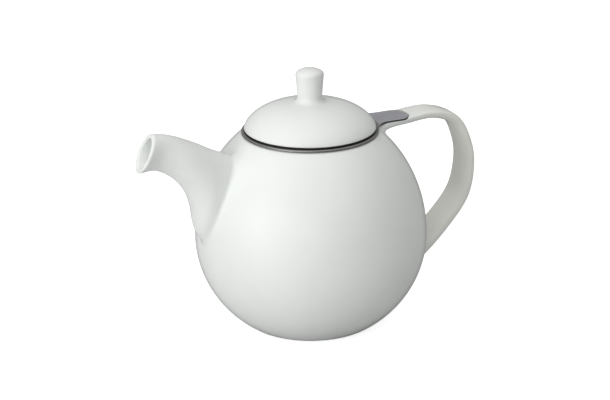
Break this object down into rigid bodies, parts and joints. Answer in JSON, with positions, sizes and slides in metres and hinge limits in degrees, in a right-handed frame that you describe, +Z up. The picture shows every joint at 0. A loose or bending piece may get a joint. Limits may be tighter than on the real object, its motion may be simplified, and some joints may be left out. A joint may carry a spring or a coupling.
{
  "type": "teapot with infuser basket",
  "caption": "Round ceramic teapot with a lift-out perforated steel infuser whose tongue lies on a looped strap handle, and a domed lid with a tapered knob.",
  "frame": {"origin": "centre of the foot ring, on the table", "axes": "+Z up along the pot's turning axis, +X towards the handle, the spout points towards -X"},
  "size_m": [0.1877, 0.1202, 0.1356],
  "materials": {
    "body_glaze": "satin white glaze",
    "spout_glaze": "satin white glaze",
    "handle_glaze": "satin white glaze",
    "rim_steel": "fine brushed",
    "sleeve_steel": "fine brushed",
    "floor_steel": "fine brushed",
    "lid_glaze": "satin white glaze",
    "knob_glaze": "satin white glaze"
  },
  "bodies": {
    "pot": {"pot_body": "body_glaze", "spout": "spout_glaze", "handle": "handle_glaze"},
    "infuser": {"infuser_rim": "rim_steel", "infuser_sleeve": "sleeve_steel", "infuser_floor": "floor_steel"},
    "lid": {"lid_dome": "lid_glaze", "lid_knob": "knob_glaze"}
  },
  "joints": [
    {"name": "infuser_lift", "type": "slide", "parent": "pot", "child": "infuser", "axis": [0, 0, 1], "range_m": [0, 0.11]},
    {"name": "lid_lift", "type": "slide", "parent": "infuser", "child": "lid", "axis": [0, 0, 1], "range_m": [0, 0.06]}
  ]
}
